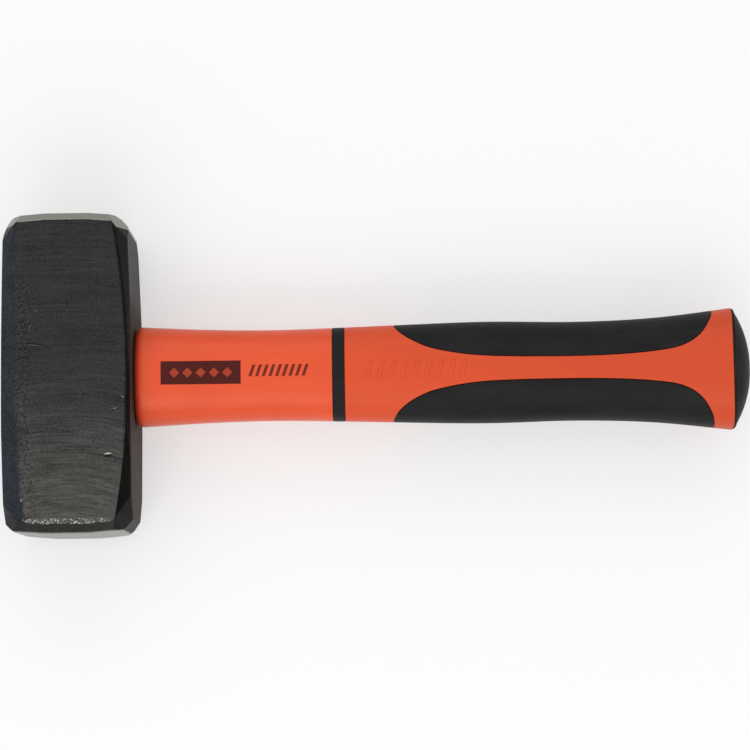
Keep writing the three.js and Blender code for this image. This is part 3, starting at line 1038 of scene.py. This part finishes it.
class HAMMER_OT_head(bpy.types.Operator):
    """Forge the head: a block with widening facets, cut corners, chamfered faces and an eye"""

    bl_idname = "hammer.head"
    bl_label = "Head"

    def execute(self, context):
        sizes = context.scene.hammer_sizes
        clear_selection()
        bpy.ops.mesh.primitive_cube_add(size=1, location=HEAD_MIDDLE, scale=HEAD_SIZE)
        piece = named_piece("forged_head")
        bpy.ops.object.transform_apply(location=True, rotation=True, scale=True)
        slice_block(piece)
        chamfer_long_edges(piece)
        widen_facets(piece, sizes)
        cut_corners_and_chamfers(sizes)
        let_edges_wander(piece, sizes)
        bore_eye(piece)
        soften_edges(piece, HEAD_EDGE, angle=16, clamp=False)
        smooth(piece, 30)
        apply_modifier(piece, "WEIGHTED_NORMAL", keep_sharp=True)
        material = forged_steel(context.scene.hammer_colours, sizes)
        hand_over(piece, material, "forged_steel", "head")
        return {"FINISHED"}


class HAMMER_OT_eye_filling(bpy.types.Operator):
    """Set the fibreglass rod in the eye and pour the resin round it"""

    bl_idname = "hammer.eye_filling"
    bl_label = "Rod and resin"

    def execute(self, context):
        trimmed = grown(ROD_HALF, -ROD_EDGE)
        rings = [
            (ROD_LOW.x, trimmed),
            (ROD_LOW.x + ROD_EDGE, ROD_HALF),
            (ROD_HIGH.x - ROD_EDGE, ROD_HALF),
            (ROD_HIGH.x, trimmed),
        ]
        rod = turned_piece("fibre_rod", rings, closed_loop=False, sides=EYE_SIDES)
        smooth(rod, 30)
        hand_over(rod, glass_fibre(), "glass_fibre", "core_rod")

        top, bottom = RESIN_LOW.x, RESIN_HIGH.x
        inner = grown(ROD_HALF, SEAM)
        walls = [grown(eye_half(x), -SEAM) for x in (top, top / 2, 0, bottom)]
        middle = between(inner, walls[0], 0.5)
        rings = [
            (top - RESIN_RISE, inner),
            (top + RESIN_RISE, between(inner, middle, 0.4)),
            (top + 1.3 * RESIN_RISE, middle),
            (top + RESIN_RISE, between(middle, walls[0], 0.6)),
            (top - 0.4 * RESIN_RISE, walls[0]),
            (top / 2, walls[1]),
            (0, walls[2]),
            (bottom, walls[3]),
            (bottom, inner),
        ]
        resin = turned_piece("eye_resin_cast", rings, closed_loop=True, sides=EYE_SIDES)
        smooth(resin, 40)
        hand_over(resin, cast_resin(), "cast_resin", "eye_resin")
        return {"FINISHED"}


# ---- The handle ----

HANDLE_SIDES = 128
RING_STEP = 2.5 * MM
SLEEVE_EDGE = 0.2 * MM  # rounding of the sleeve's rear edge
BAND_EDGE = 0.25 * MM  # rounding of both of the band's edges


def form_rings(first, last):
    """Rings of the handle's outer form between two places."""
    count = max(1, math.ceil((last - first) / RING_STEP))
    places = [first + (last - first) * i / count for i in range(count + 1)]
    return [(x, handle_half(x)) for x in places]


def rounded_start(x, radius, steps, inward=1):
    """Rings of a rounded edge that begins at x and widens inwards to the handle's form."""
    rings = []
    for i in range(steps):
        turn = math.pi / 2 * i / steps
        place = x + inward * radius * (1 - math.cos(turn))
        rings.append((place, handle_half(place, radius * (1 - math.sin(turn)))))
    return rings


def rounded_end(x, radius, steps):
    """The same at a piece's other end."""
    return rounded_start(x, radius, steps, inward=-1)[::-1]


def tube_rings(bore, first, last, front, rear):
    """Rings of a tube of the handle's form. Its ends are rounded as (radius, steps) says."""
    return [
        (first, bore),
        *rounded_start(first, *front),
        *form_rings(first + front[0], last - rear[0]),
        *rounded_end(last, *rear),
    ]


class HAMMER_OT_sleeve(bpy.types.Operator):
    """Draw the orange sleeve out from the head, and step it down to run under the grip"""

    bl_idname = "hammer.sleeve"
    bl_label = "Sleeve"

    def execute(self, context):
        fillet = context.scene.hammer_sizes.sleeve_fillet
        bore = grown(ROD_HALF, SEAM)
        front, rear = HEAD_HIGH.x + SEAM, BAND_LOW.x - SEAM
        rings = tube_rings(bore, front, rear, (fillet, 6), (SLEEVE_EDGE, 3))
        rings += [(rear, NECK_HALF), (NECK_END, NECK_HALF), (NECK_END, bore)]
        piece = turned_piece("sleeve", rings, closed_loop=True, sides=HANDLE_SIDES)
        smooth(piece, 30)
        hand_over(piece, hard_orange(context.scene.hammer_colours), "hard_orange", "handle_sleeve")
        return {"FINISHED"}


class HAMMER_OT_band(bpy.types.Operator):
    """Make the black band between the sleeve and the grip"""

    bl_idname = "hammer.band"
    bl_label = "Divider band"

    def execute(self, context):
        bore = grown(NECK_HALF, SEAM)
        rounded = (BAND_EDGE, 4)
        rings = tube_rings(bore, BAND_LOW.x, BAND_HIGH.x, rounded, rounded)
        rings.append((BAND_HIGH.x, bore))
        piece = turned_piece("band", rings, closed_loop=True, sides=HANDLE_SIDES)
        smooth(piece, 40)
        hand_over(piece, shared(soft_black, context.scene.hammer_colours), "soft_black", "divider_band")
        return {"FINISHED"}


# ---- The grip ----

POCKET_GAP = 0.15 * MM  # between a pad's back and the floor of its pocket
STRIPE_ACROSS = 48  # faces across the stripe
FLOOR_ACROSS = 12  # faces across a pocket's floor
GRID_STEP = 1.1 * MM  # between two rows of points
TIP_STEPS = 10  # closer rows at each tip
LIP = 0.3 * MM  # rounding of the grip's edges
LIP_TURN = 0.12  # the turn, in radians, under which the rounding fades out at a pocket's tips
TIP_REACH = 2.4 * MM  # how far from the tips the rows stand closer together
STRIPE_WIDE = 26 * MM  # the stripe's usual width round the handle
BOW_REACH = 5 * MM  # how far from the grip's end the parting line's bow is felt
END_FACE_SHARE = 0.9  # how wide the flat faces at the grip's ends are, against the rim
PAD_RIM = 0.55 * MM  # rounding of the pads' edges
PAD_OUTLINE = 190  # points along one side of a pad's outline
OUTLINE_SEARCH = 1200  # points that those are picked from
PAD_SPINE = (9 * MM, 6 * MM)  # how far the pads' middle line stays from their tips
PAD_RINGS = 14  # rings of points between a pad's rim and its middle line


def rounding(distance, radius):
    """How far a rounded edge lies under the surface, at a distance from the edge."""
    if distance >= radius:
        return 0.0
    return radius - math.sqrt(radius**2 - (radius - distance) ** 2)


def edge_steps(radius):
    """Distances from an edge at which its rounding needs points."""
    return [radius * (1 - math.sin(math.pi / 2 * (1 - i / 4))) for i in range(5)]


def grip_places(first, last, tips):
    """Places along the grip, close together at its ends and tips and evenly spaced elsewhere."""
    places = {last}
    stops = sorted({first, last, *tips})
    for a, b in zip(stops, stops[1:]):
        count = math.ceil((b - a) / GRID_STEP)
        places.update(a + (b - a) * i / count for i in range(count))
    for tip, inward in zip(tips, (1, -1)):
        places.update(tip + inward * TIP_REACH * (i / TIP_STEPS) ** 2 for i in range(1, TIP_STEPS))
    for end, inward in ((first, 1), (last, -1)):
        places.update(end + inward * step for step in edge_steps(LIP))
    ordered = sorted(places)
    return [a for a, b in zip(ordered, [*ordered[1:], math.inf]) if b - a > 0.004 * MM]


def stripe_shares():
    """Shares of the stripe's width, close together at both of its edges."""
    near = [step / STRIPE_WIDE for step in edge_steps(LIP)]
    inner = [near[-1] + (1 - 2 * near[-1]) * i / STRIPE_ACROSS for i in range(1, STRIPE_ACROSS)]
    return [*near, *inner, *(1 - share for share in reversed(near))]


def wrapped_grid(name, rows, columns, lay):
    """A grid laid on the handle: each point goes where lay(row, column) says."""
    clear_selection()
    bpy.ops.mesh.primitive_grid_add(
        x_subdivisions=len(rows) - 1, y_subdivisions=len(columns) - 1, size=2, location=(0, 0, 0)
    )
    piece = named_piece(name)
    for vertex in piece.data.vertices:
        row = round((vertex.co.x + 1) / 2 * (len(rows) - 1))
        column = round((vertex.co.y + 1) / 2 * (len(columns) - 1))
        vertex.co = lay(rows[row], columns[column])
    return piece


def bowed(point, weight):
    """The point moved forward near the grip's rear end, where the parting line is bowed."""
    lift = (point.z - AXIS_Z) / (SHELL_HIGH.z - AXIS_Z)
    return point - Vector((PARTING_BOW * weight * lift**2, 0, 0))


def upside_down(lay):
    """The same surface on the handle's lower half."""

    def lay_lower(row, column):
        point = lay(row, column)
        return Vector((point.x, point.y, 2 * AXIS_Z - point.z))

    return lay_lower


def join_sheets(sheets):
    work_on(sheets[0])
    for sheet in sheets:
        sheet.select_set(True)
    bpy.ops.object.join()
    edit_mode()
    finish_mesh()
    return sheets[0]


def close_ends(piece, first, last):
    """Closes both open ends of a tube with a flat face that is set into the rim."""
    middle = (first + last) / 2
    for side, flat_x in ((-1, first), (1, last - 0.6 * PARTING_BOW)):
        select_rim(piece, lambda place: (place.x - middle) * side > 0)
        bpy.ops.mesh.extrude_region_move()
        bpy.ops.transform.resize(
            value=(0, END_FACE_SHARE, END_FACE_SHARE), center_override=(flat_x, 0, AXIS_Z)
        )
        bpy.ops.mesh.edge_face_add()
        object_mode()


def bore_neck_hole(piece, first, last):
    """Bores the grip from end to end for the sleeve's neck."""
    bore = grown(NECK_HALF, SEAM)
    rings = [(first - 2 * MM, bore), (last + 2 * MM, bore)]
    cutter = turned_piece("neck_cutter", rings, closed_loop=False, sides=HANDLE_SIDES)
    cut_out(piece, cutter)


def select_rim(piece, wanted):
    """Selects the open edges whose middle wanted(place) is true for, in edit mode."""
    sides = faces_by_edge(piece)
    places = [vertex.co.copy() for vertex in piece.data.vertices]

    def on_rim(edge):
        a, b = edge.key
        return len(sides.get(edge.key, [])) == 1 and wanted((places[a] + places[b]) / 2)

    select(piece, "EDGE", on_rim)


class HAMMER_OT_grip(bpy.types.Operator):
    """Lay the orange grip round the sleeve's neck, with a pocket on both sides for the pads"""

    bl_idname = "hammer.grip"
    bl_label = "Grip shell"

    def execute(self, context):
        sizes = context.scene.hammer_sizes
        first, last = BAND_HIGH.x + SEAM, SHELL_HIGH.x
        tips = pad_tips(-sizes.pad_groove)
        places = grip_places(first, last, tips)

        def end_rounding(x):
            return rounding(min(x - first, last - x), LIP)

        def bow(x):
            return max(0.0, (x - (last - BOW_REACH)) / BOW_REACH)

        def lay_stripe(x, share):
            edge = stripe_turn(x, -sizes.pad_groove)
            width = (math.pi - 2 * edge) * handle_half(x)[0]
            from_edge = min(share, 1 - share) * width
            lip = rounding(from_edge, LIP) * min(1.0, edge / LIP_TURN)
            inset = max(lip, end_rounding(x))
            return bowed(form_point(x, edge + (math.pi - 2 * edge) * share, inset), bow(x))

        def lay_pocket(side):
            def lay(x, share):
                edge = stripe_turn(x, -sizes.pad_groove)
                lip = LIP * min(1.0, edge / LIP_TURN)
                point = form_point(x, edge * (2 * share - 1), lip)
                return Vector((point.x, point.y * side, point.z))

            return lay

        shares = stripe_shares()
        pocket_places = [x for x in places if tips[0] - 0.01 * MM <= x <= tips[1] + 0.01 * MM]
        floor_shares = [i / FLOOR_ACROSS for i in range(FLOOR_ACROSS + 1)]
        piece = join_sheets(
            [
                wrapped_grid("grip", places, shares, lay_stripe),
                wrapped_grid("grip_under", places, shares, upside_down(lay_stripe)),
                wrapped_grid("pocket_a", pocket_places, floor_shares, lay_pocket(1)),
                wrapped_grid("pocket_b", pocket_places, floor_shares, lay_pocket(-1)),
            ]
        )

        def in_pocket(face):
            x, y = face.center.x, face.center.y
            return tips[0] < x < tips[1] and abs(y) > read_curve(STRIPE_CURVE, x) - sizes.pad_groove

        select(piece, "FACE", in_pocket)
        sink = -(sizes.pad_thickness + POCKET_GAP)
        bpy.ops.mesh.extrude_region_shrink_fatten(TRANSFORM_OT_shrink_fatten={"value": sink})
        object_mode()
        close_ends(piece, first, last)
        bore_neck_hole(piece, first, last)
        smooth(piece, 40)
        material = shared(grip_orange, context.scene.hammer_colours)
        hand_over(piece, material, "grip_orange", "grip_shell")
        return {"FINISHED"}


def pad_outline(margin):
    """One side of a pad's outline from tip to tip, as evenly spaced (x, turn, half width of handle)."""
    first, last = pad_tips(margin)
    edge = [(x, stripe_turn(x, margin), read_curve(HANDLE_CURVE, x)) for x in outline_places(first, last)]
    raw = [(first, 0.0, edge[0][2]), *edge, (last, 0.0, edge[-1][2])]
    lengths = [0.0]
    for (x0, turn0, half0), (x1, turn1, _) in zip(raw, raw[1:]):
        lengths.append(lengths[-1] + math.hypot(x1 - x0, (turn1 - turn0) * half0))
    points = []
    j = 0
    for i in range(PAD_OUTLINE + 1):
        target = lengths[-1] * i / PAD_OUTLINE
        while j < len(raw) - 2 and lengths[j + 1] < target:
            j += 1
        t = (target - lengths[j]) / (lengths[j + 1] - lengths[j])
        points.append(between(raw[j], raw[j + 1], t))
    return points


def outline_places(first, last):
    """Places from tip to tip, far closer together at the tips, where the outline turns."""
    shares = [(1 - math.cos(math.pi * i / OUTLINE_SEARCH)) / 2 for i in range(OUTLINE_SEARCH + 1)]
    return [first + (last - first) * share for share in shares]


class HAMMER_OT_pads(bpy.types.Operator):
    """Press the two soft pads into the pockets of the grip"""

    bl_idname = "hammer.pads"
    bl_label = "Grip pads"

    def execute(self, context):
        sizes = context.scene.hammer_sizes
        side = pad_outline(sizes.pad_groove)
        outline = side + [(x, -turn, half) for x, turn, half in reversed(side)]
        spine_from = side[0][0] + PAD_SPINE[0]
        spine_to = side[-1][0] - PAD_SPINE[1]
        rims = edge_steps(PAD_RIM)
        rings = [("from_edge", step) for step in rims]
        rings += [("share", (i / PAD_RINGS) ** 1.3) for i in range(1, PAD_RINGS + 1)]

        def lay(ring, point):
            x, turn, half = point
            spine_x = min(max(x, spine_from), spine_to)
            reach = math.hypot(x - spine_x, turn * half)
            kind, amount = ring
            edge_share = PAD_RIM / reach
            t = amount / reach if kind == "from_edge" else edge_share + (1 - edge_share) * amount
            lip = rounding(amount, PAD_RIM) if kind == "from_edge" else 0.0
            return form_point(x + (spine_x - x) * t, turn * (1 - t), lip)

        pad_a = wrapped_grid("pad_a", rings, outline, lay)
        edit_mode()
        finish_mesh()
        face_outwards(pad_a)
        apply_modifier(pad_a, "SOLIDIFY", thickness=sizes.pad_thickness, offset=-1)
        smooth(pad_a, 50)
        work_on(pad_a)
        bpy.ops.object.duplicate()
        pad_b = named_piece("pad_b")
        edit_mode()
        select_all()
        bpy.ops.transform.mirror(constraint_axis=(False, True, False), center_override=(0, 0, AXIS_Z))
        bpy.ops.mesh.normals_make_consistent(inside=False)
        object_mode()
        material = shared(soft_black, context.scene.hammer_colours)
        hand_over(pad_a, material, "soft_black", "grip_pad_a")
        hand_over(pad_b, material, "soft_black", "grip_pad_b")
        return {"FINISHED"}


def face_outwards(sheet):
    """Turns an open sheet's faces away from the handle's axis."""
    face = max(sheet.data.polygons, key=lambda face: abs(face.center.y))
    if face.normal.y * face.center.y < 0:
        work_on(sheet)
        edit_mode()
        select_all()
        bpy.ops.mesh.flip_normals()
        object_mode()


RIB_COUNT = 9
RIB_PITCH = 4.1 * MM
RIB_CENTRE = 120 * MM
RIB_SIZE = (1.5 * MM, 6.2 * MM, 1.2 * MM)
RIB_LEAN = 1.6 * MM  # how far a rib's +Y end stands behind its other end
RIB_EDGE = 0.18 * MM  # rounding of the ribs' edges


def surface_height(x, y):
    """The height of the handle's upper surface over a point in plan."""
    width, thickness = handle_half(x)
    return AXIS_Z + thickness * (1 - (abs(y) / width) ** SECTION_POWER) ** (1 / SECTION_POWER)


class HAMMER_OT_ribs(bpy.types.Operator):
    """Raise a plain row of slanted ribs on the front of the grip"""

    bl_idname = "hammer.ribs"
    bl_label = "Grip ribs"

    def execute(self, context):
        height = context.scene.hammer_sizes.rib_height
        clear_selection()
        centre = (0, 0, height - RIB_SIZE[2] / 2)
        bpy.ops.mesh.primitive_cube_add(size=1, location=centre, scale=RIB_SIZE)
        first = named_piece("grip_ribs")
        bpy.ops.object.transform_apply(location=True, rotation=True, scale=True)
        select(first, "VERT", lambda point: point.co.y > 0)
        bpy.ops.transform.translate(value=(RIB_LEAN, 0, 0))
        select_all()
        bpy.ops.mesh.subdivide(number_cuts=3)
        object_mode()
        soften_edges(first, RIB_EDGE, angle=40)
        ribs = [first]
        for _ in range(RIB_COUNT - 1):
            work_on(first)
            bpy.ops.object.duplicate()
            ribs.append(bpy.context.active_object)
        for i, rib in enumerate(ribs):
            shift = RIB_CENTRE + (i - (RIB_COUNT - 1) / 2) * RIB_PITCH - RIB_LEAN / 2
            for vertex in rib.data.vertices:
                x = vertex.co.x + shift
                y = vertex.co.y
                vertex.co = (x, y, vertex.co.z + surface_height(x, y))
        work_on(first)
        for rib in ribs:
            rib.select_set(True)
        bpy.ops.object.join()
        smooth(first, 40)
        hand_over(first, shared(grip_orange, context.scene.hammer_colours), "grip_orange")
        return {"FINISHED"}


CAP_DOME = 39 * MM  # radius of the cap's outline, seen across the handle
CAP_CORNER = 1.1 * MM  # rounding of the cap's rim
CAP_SPIGOT = (4.2 * MM, 8 * MM, 5 * MM)  # length, half width and half thickness
CAP_STEP = 0.15 * MM  # how far the cap's rim stands inside the grip's
CAP_RISE = 0.12 * MM  # length of the chamfer at the cap's foot
CAP_BOW_REACH = 4 * MM  # how far from the foot the parting line's bow is felt
CAP_CORNER_STEPS = 5
CAP_DOME_STEPS = 18


class HAMMER_OT_cap(bpy.types.Operator):
    """Dome the black cap over the butt end"""

    bl_idname = "hammer.cap"
    bl_label = "Butt cap"

    def execute(self, context):
        base = SHELL_HIGH.x + SEAM
        rim = handle_half(base)[0] - CAP_STEP
        turned = rim - CAP_CORNER
        centre = CAP_HIGH.x - CAP_DOME
        shoulder = centre + math.sqrt(CAP_DOME**2 - turned**2)
        flat = HANDLE_FLATNESS
        rings = [
            (base - CAP_SPIGOT[0], CAP_SPIGOT[1:]),
            (base, CAP_SPIGOT[1:]),
            (base, (rim - CAP_STEP, (rim - CAP_STEP) * flat)),
            (base + CAP_RISE, (rim, rim * flat)),
        ]
        for i in range(1, CAP_CORNER_STEPS):
            turn = math.pi / 2 * i / CAP_CORNER_STEPS
            y = turned + CAP_CORNER * math.cos(turn)
            x = base + CAP_RISE + (shoulder - base - CAP_RISE) * math.sin(turn)
            rings.append((x, (y, y * flat)))
        for i in range(CAP_DOME_STEPS):
            y = turned * math.cos(math.pi / 2 * i / CAP_DOME_STEPS)
            x = centre + math.sqrt(CAP_DOME**2 - y**2)
            rings.append((x, (y, y * flat)))
        piece = turned_piece("cap", rings, closed_loop=False, sides=HANDLE_SIDES)
        for vertex in piece.data.vertices:
            weight = max(0.0, 1 - (vertex.co.x - base) / CAP_BOW_REACH)
            vertex.co = bowed(vertex.co, weight)
        smooth(piece, 40)
        hand_over(piece, shared(soft_black, context.scene.hammer_colours), "soft_black", "butt_cap")
        return {"FINISHED"}


class HAMMER_OT_eye_seal(bpy.types.Operator):
    """Give the hidden seal in the eye its material"""

    bl_idname = "hammer.eye_seal"
    bl_label = "Eye seal"

    def execute(self, context):
        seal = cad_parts["eye_seal"]
        seal.data.materials.clear()
        seal.data.materials.append(shared(soft_black, context.scene.hammer_colours))
        return {"FINISHED"}


# ---- The stage ----

CAMERA_TARGET = Vector((105.8 * MM, -0.3 * MM, AXIS_Z))
CAMERA_DISTANCE = 0.84
CAMERA_ELEVATION = 83.5
CAMERA_ROLL = 0.83
CAMERA_LENS = 115
FLOOR_SIZE = 12
LIGHT_AIM = (0.08, 0, 0)
LIGHT_SIZE = (1.3, 0.7)


def add_softbox(name, place, power):
    light = bpy.data.lights.new(name, "AREA")
    light.shape = "RECTANGLE"
    light.size, light.size_y = LIGHT_SIZE
    light.energy = power
    holder = bpy.data.objects.new(name, light)
    bpy.context.scene.collection.objects.link(holder)
    holder.location = place
    holder.rotation_euler = (Vector(LIGHT_AIM) - Vector(place)).to_track_quat("-Z", "Y").to_euler()


ZENITH_LIGHT = 1.0
HORIZON_LIGHT = 0.4
HANDLE_SIDE_LIGHT = 0.08  # at the horizon beyond the butt
BACKDROP_LIGHT = 0.95  # what the camera sees past the floor
KEY_POWER = 6.4
FILL_POWER = 3.0


def studio_sky():
    """Soft light that is brightest overhead and dim at the horizon beyond the butt."""
    recipe = Recipe("studio_sky", bpy.data.worlds)
    direction = recipe.node("TexCoord", output="Generated")
    x, _, z = recipe.parts(direction)
    horizon = HORIZON_LIGHT + (HANDLE_SIDE_LIGHT - HORIZON_LIGHT) * x.ramp(0.1, 0.8)
    light = horizon + (ZENITH_LIGHT - horizon) * z.ramp(0.1, 0.85)
    seen = recipe.node("LightPath", output="Is Camera Ray")
    strength = light + (BACKDROP_LIGHT - light) * seen
    shader = recipe.node("Background", {}, {"Color": (1, 1, 1, 1), "Strength": strength})
    recipe.node("OutputWorld", {}, {"Surface": shader})
    return recipe.block


class HAMMER_OT_stage(bpy.types.Operator):
    """Lay the pale floor, light it softly and set the camera over the hammer"""

    bl_idname = "hammer.stage"
    bl_label = "Stage"

    def execute(self, context):
        scene = context.scene
        clear_selection()
        bpy.ops.mesh.primitive_plane_add(size=FLOOR_SIZE, location=(0, 0, 0))
        floor = named_piece("floor")
        floor.data.materials.append(floor_paper())

        scene.world = studio_sky()
        add_softbox("key_light", (0.0, -0.95, 0.95), KEY_POWER)
        add_softbox("fill_light", (0.1, 1.1, 0.9), FILL_POWER)

        camera = bpy.data.objects.new("camera", bpy.data.cameras.new("camera"))
        scene.collection.objects.link(camera)
        elevation = math.radians(CAMERA_ELEVATION)
        back = Vector((0, -math.cos(elevation), math.sin(elevation)))
        camera.location = CAMERA_TARGET + back * CAMERA_DISTANCE
        camera.rotation_mode = "QUATERNION"
        level = (-back).to_track_quat("-Z", "Y")
        camera.rotation_quaternion = level @ Quaternion((0, 0, 1), math.radians(-CAMERA_ROLL))
        camera.data.lens = CAMERA_LENS
        camera.data.sensor_width = 36
        camera.data.clip_start = 0.01
        scene.camera = camera
        scene.view_settings.view_transform = "Standard"
        return {"FINISHED"}


class HAMMER_PT_pieces(bpy.types.Panel):
    """The pieces in the order that they are made"""

    bl_idname = "HAMMER_PT_pieces"
    bl_label = "Lump hammer"
    bl_space_type = "VIEW_3D"
    bl_region_type = "UI"
    bl_category = "Hammer"

    def draw(self, context):
        column = self.layout.column()
        for settings in (context.scene.hammer_sizes, context.scene.hammer_colours):
            for name in settings.bl_rna.properties.keys():
                if name not in ("rna_type", "name"):
                    column.prop(settings, name)
        for operator in OPERATORS:
            column.operator(operator.bl_idname)


OPERATORS = (
    HAMMER_OT_stage,
    HAMMER_OT_head,
    HAMMER_OT_eye_filling,
    HAMMER_OT_sleeve,
    HAMMER_OT_band,
    HAMMER_OT_grip,
    HAMMER_OT_pads,
    HAMMER_OT_ribs,
    HAMMER_OT_cap,
    HAMMER_OT_eye_seal,
)
CLASSES = (HammerSizes, HammerColours, *OPERATORS, HAMMER_PT_pieces)


def register():
    for cls in CLASSES:
        bpy.utils.register_class(cls)
    bpy.types.Scene.hammer_sizes = bpy.props.PointerProperty(type=HammerSizes)
    bpy.types.Scene.hammer_colours = bpy.props.PointerProperty(type=HammerColours)


def unregister():
    del bpy.types.Scene.hammer_colours
    del bpy.types.Scene.hammer_sizes
    for cls in reversed(CLASSES):
        bpy.utils.unregister_class(cls)


def main():
    register()
    for operator in OPERATORS:
        group, name = operator.bl_idname.split(".")
        getattr(getattr(bpy.ops, group), name)()


if __name__ == "__main__":
    main()
